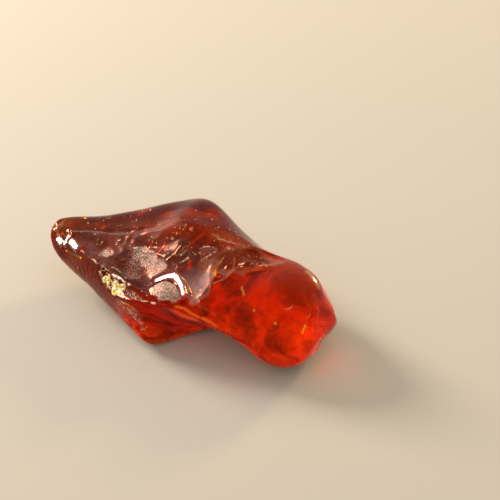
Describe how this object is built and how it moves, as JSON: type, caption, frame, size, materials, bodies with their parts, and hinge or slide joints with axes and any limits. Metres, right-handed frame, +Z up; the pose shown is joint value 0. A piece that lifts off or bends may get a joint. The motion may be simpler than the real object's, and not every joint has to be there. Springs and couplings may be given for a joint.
{
  "type": "raw amber piece",
  "caption": "Clear orange-red raw amber pebble with a rounded lobe, a narrow tip, shell-shaped hollows and a split along its front ridge; lies on its worn underside.",
  "frame": {"origin": "middle of the bounding box's underside, on the plane that the piece rests on", "axes": "+X from the narrow tip to the rounded lobe, -Y the front with the ridge and the split, +Z up"},
  "size_m": [0.0362, 0.0186, 0.0101],
  "materials": {
    "amber": "clear fossil resin, glossy where worn and frosted in the hollows"
  },
  "bodies": {
    "root": {"raw_amber": "amber"}
  },
  "joints": []
}
